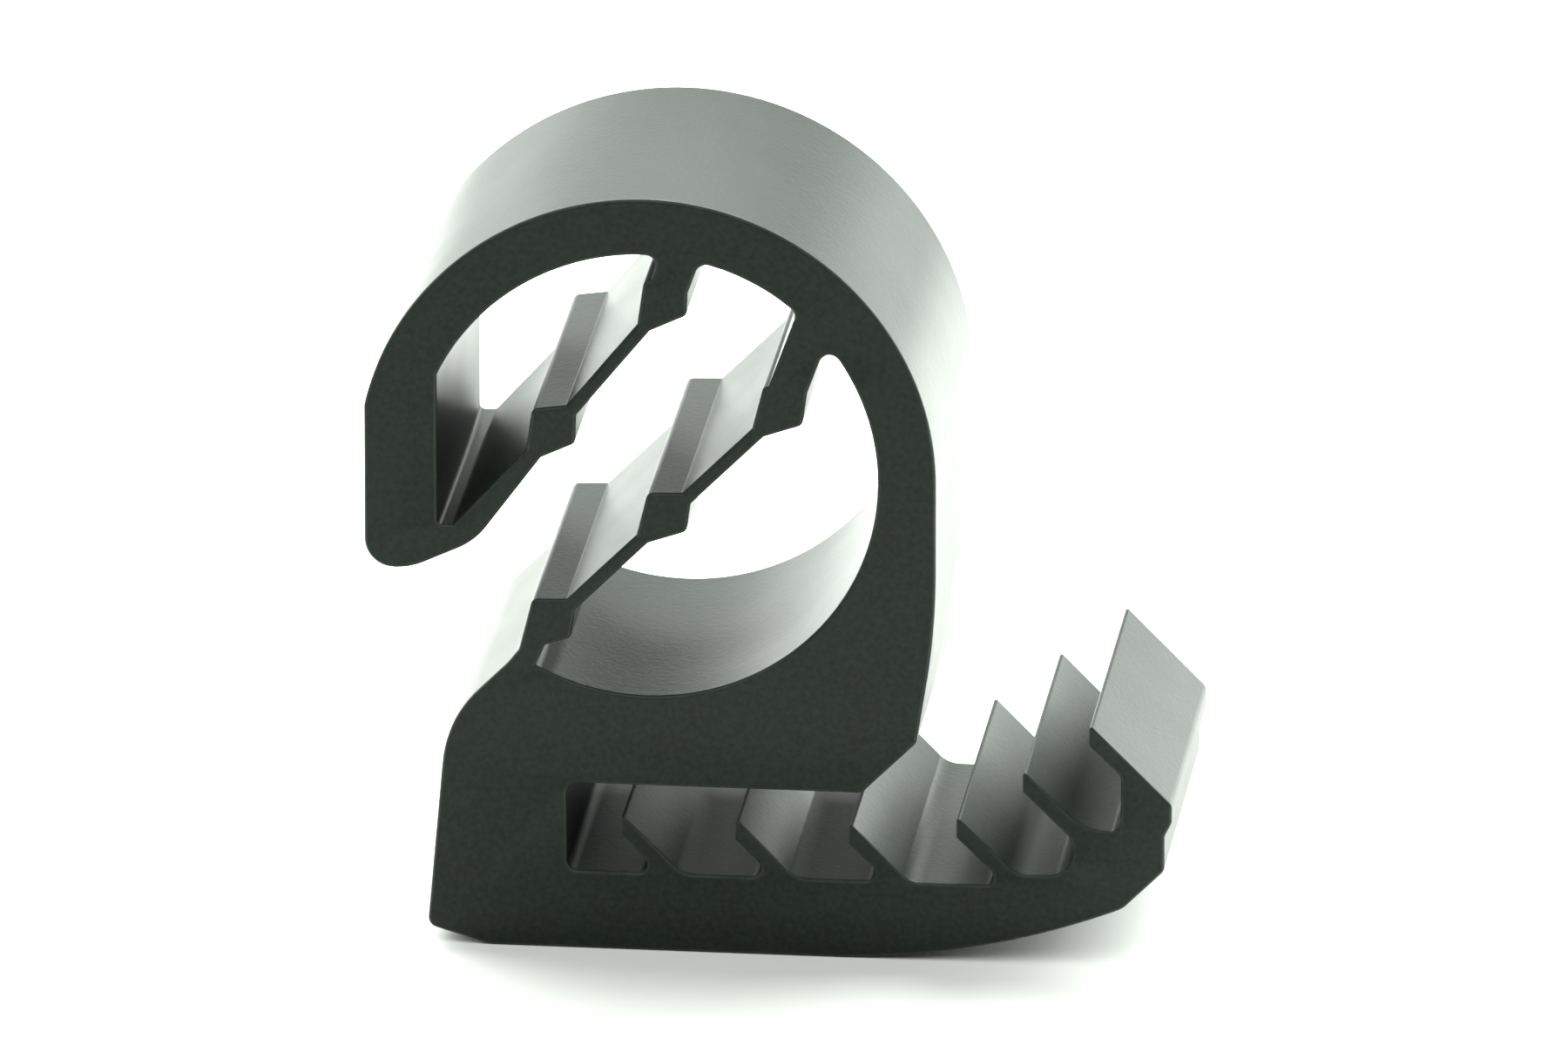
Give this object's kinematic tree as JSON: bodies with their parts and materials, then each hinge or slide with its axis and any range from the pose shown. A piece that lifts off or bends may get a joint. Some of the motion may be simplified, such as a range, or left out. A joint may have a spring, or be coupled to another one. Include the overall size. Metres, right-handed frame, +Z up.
{
  "type": "panel-edge cable clip",
  "caption": "One-piece moulded cable clip: an open ring with ribbed flexible webs holds a cable, and a barbed slot below it pushes over the edge of a panel.",
  "frame": {"origin": "middle of the bounding box, at the level of the flat underside", "axes": "+Z up from the underside to the ring, +X towards the slot's mouth and the arm's end, Y along the cable, with the front of the picture at -Y"},
  "size_m": [0.0222, 0.01, 0.0217],
  "materials": {
    "black_nylon": "moulded black nylon with a satin sheen"
  },
  "bodies": {
    "root": {"cable_clip": "black_nylon"}
  },
  "joints": []
}
